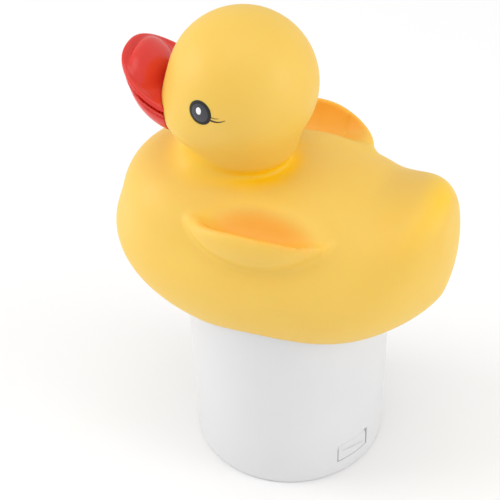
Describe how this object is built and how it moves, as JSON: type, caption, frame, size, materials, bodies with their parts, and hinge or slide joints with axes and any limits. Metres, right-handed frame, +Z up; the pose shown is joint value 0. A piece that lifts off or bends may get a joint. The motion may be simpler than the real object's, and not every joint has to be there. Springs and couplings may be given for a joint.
{
  "type": "floating chlorine dispenser",
  "caption": "Floating tablet dispenser: a hollow duck float twists on to a white canister that has a turning flow dial in its base.",
  "frame": {"origin": "centre of the circle on which the canister's foot stands", "axes": "+Z up, the duck faces -Y, +X is the duck's left side"},
  "size_m": [0.1028, 0.15, 0.2188],
  "materials": {
    "yellow_vinyl": "soft moulded vinyl, satin",
    "red_plastic": "glossy moulded plastic",
    "eye_plastic": "dark grey, semi-gloss, with a white highlight",
    "white_plastic": "white polypropylene, satin",
    "dial_plastic": "pale grey polypropylene, satin",
    "ballast_steel": "turned steel",
    "stainless": "stainless steel",
    "seal_rubber": "dark grey rubber",
    "plug_rubber": "black rubber"
  },
  "bodies": {
    "canister": {"canister": "white_plastic", "base_cap": "white_plastic", "ballast_ring": "ballast_steel", "ballast_cover": "white_plastic", "dial_seal": "seal_rubber", "dial_spring_washer": "stainless", "dial_washer": "stainless", "dial_screw": "stainless"},
    "dial": {"flow_dial": "dial_plastic"},
    "neck": {"neck_seal": "seal_rubber"},
    "float": {"float_plate": "white_plastic", "plate_screws": "stainless", "air_plug": "plug_rubber", "shell_gasket": "seal_rubber", "clamp_ring": "white_plastic", "duck_shell": "yellow_vinyl", "bill": "red_plastic", "eye_left": "eye_plastic", "eye_right": "eye_plastic"}
  },
  "joints": [
    {"name": "flow_turn", "type": "hinge", "parent": "canister", "child": "dial", "pos_m": [0, 0, 0.008], "axis": [0, 0, 1], "range_deg": [0, 30]},
    {"name": "twist_lock", "type": "hinge", "parent": "canister", "child": "neck", "pos_m": [0, 0, 0.097], "axis": [0, 0, 1], "range_deg": [0, 45]},
    {"name": "lift_off", "type": "slide", "parent": "neck", "child": "float", "axis": [0, 0, 1], "range_m": [0, 0.14]}
  ]
}
